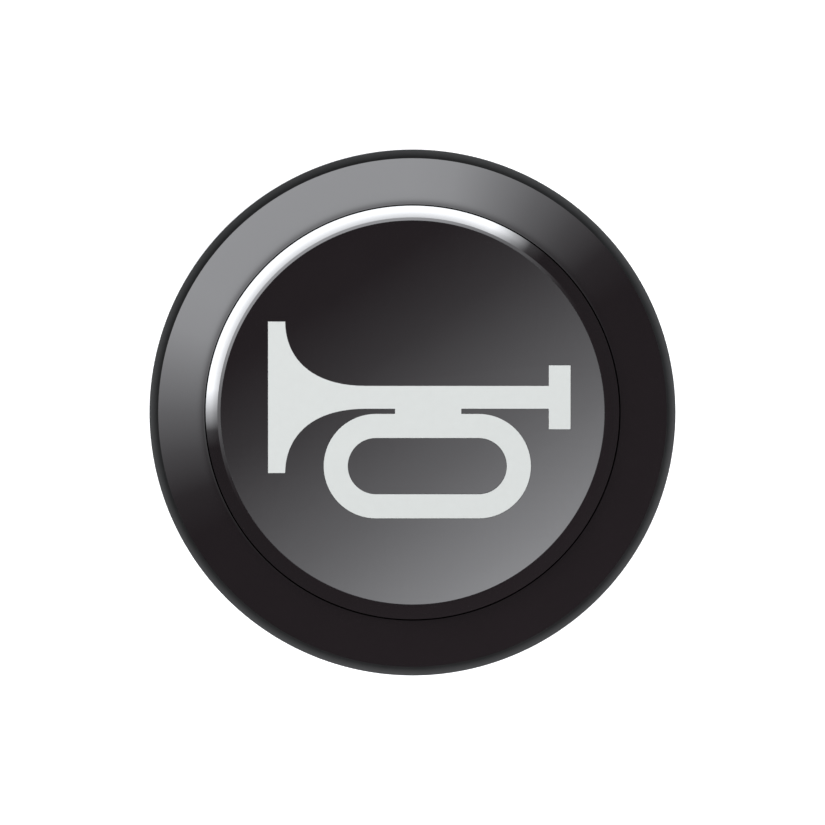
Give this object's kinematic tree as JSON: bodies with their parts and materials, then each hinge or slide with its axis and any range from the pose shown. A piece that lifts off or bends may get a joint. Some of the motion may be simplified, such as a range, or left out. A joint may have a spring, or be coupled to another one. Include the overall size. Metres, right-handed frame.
{
  "type": "horn push button",
  "caption": "Round panel push button with a dished black cap bearing a bugle symbol, a threaded barrel with ring nut, and a screw-terminal contact block.",
  "frame": {"origin": "centre of the panel hole, on the panel's front surface", "axes": "+Z out of the panel towards the finger, along the button's axis; +Y towards the top of the horn symbol; +X to the right as it is read"},
  "size_m": [0.0296, 0.0296, 0.0525],
  "materials": {
    "rubber": "satin",
    "gloss_black": "gloss",
    "face_black": "gloss",
    "satin_black": "satin",
    "pale_legend": "satin",
    "natural_plastic": "satin",
    "grey_plastic": "satin",
    "green_plastic": "satin",
    "amber_plastic": "satin",
    "spring_steel": "bright",
    "zinc_steel": "bright zinc",
    "brass": "stamped",
    "silver": "satin"
  },
  "bodies": {
    "housing": {"panel_gasket": "rubber", "bezel_ring": "gloss_black", "barrel": "satin_black", "lip_seal": "rubber", "lock_washer": "zinc_steel", "ring_nut": "satin_black", "spring_retainer": "natural_plastic", "return_spring": "spring_steel", "carriage_spring": "spring_steel", "carrier": "grey_plastic", "block_housing": "grey_plastic", "block_cover": "satin_black", "cover_screw_front": "zinc_steel", "cover_screw_back": "zinc_steel", "fixed_tip_right": "silver", "fixed_tip_left": "silver", "fixed_contact_right": "brass", "fixed_contact_left": "brass", "clamp_plate_right": "zinc_steel", "clamp_plate_left": "zinc_steel", "terminal_screw_right": "zinc_steel", "terminal_screw_left": "zinc_steel", "terminal_nut_right": "zinc_steel", "terminal_nut_left": "zinc_steel"},
    "button": {"cap_shell": "gloss_black", "face_disc": "face_black", "horn_symbol": "pale_legend", "plunger": "natural_plastic"},
    "latch": {"release_slide": "amber_plastic"},
    "carriage": {"contact_carriage": "green_plastic", "contact_spring": "spring_steel"},
    "bridge": {"contact_bridge": "brass", "bridge_tip_right": "silver", "bridge_tip_left": "silver"}
  },
  "joints": [
    {"name": "press", "type": "slide", "parent": "housing", "child": "button", "axis": [0, 0, -1], "range_m": [0, 0.004], "stiffness_N_per_m": 750, "springref_m": -0.0033, "deforming": ["return_spring"]},
    {"name": "carriage_travel", "type": "slide", "parent": "housing", "child": "carriage", "axis": [0, 0, -1], "range_m": [0, 0.004], "stiffness_N_per_m": 150, "springref_m": -0.003, "deforming": ["carriage_spring"]},
    {"name": "bridge_travel", "type": "slide", "parent": "carriage", "child": "bridge", "axis": [0, 0, 1], "range_m": [0, 0.0016], "stiffness_N_per_m": 300, "springref_m": -0.001, "deforming": ["contact_spring"]},
    {"name": "latch_release", "type": "slide", "parent": "housing", "child": "latch", "axis": [1, 0, 0], "range_m": [0, 0.0012]}
  ],
  "couplings": [
    {"joint": "carriage_travel", "follows": "press", "ratio": 1},
    {"joint": "bridge_travel", "follows": "press", "ratio": 0.4}
  ]
}
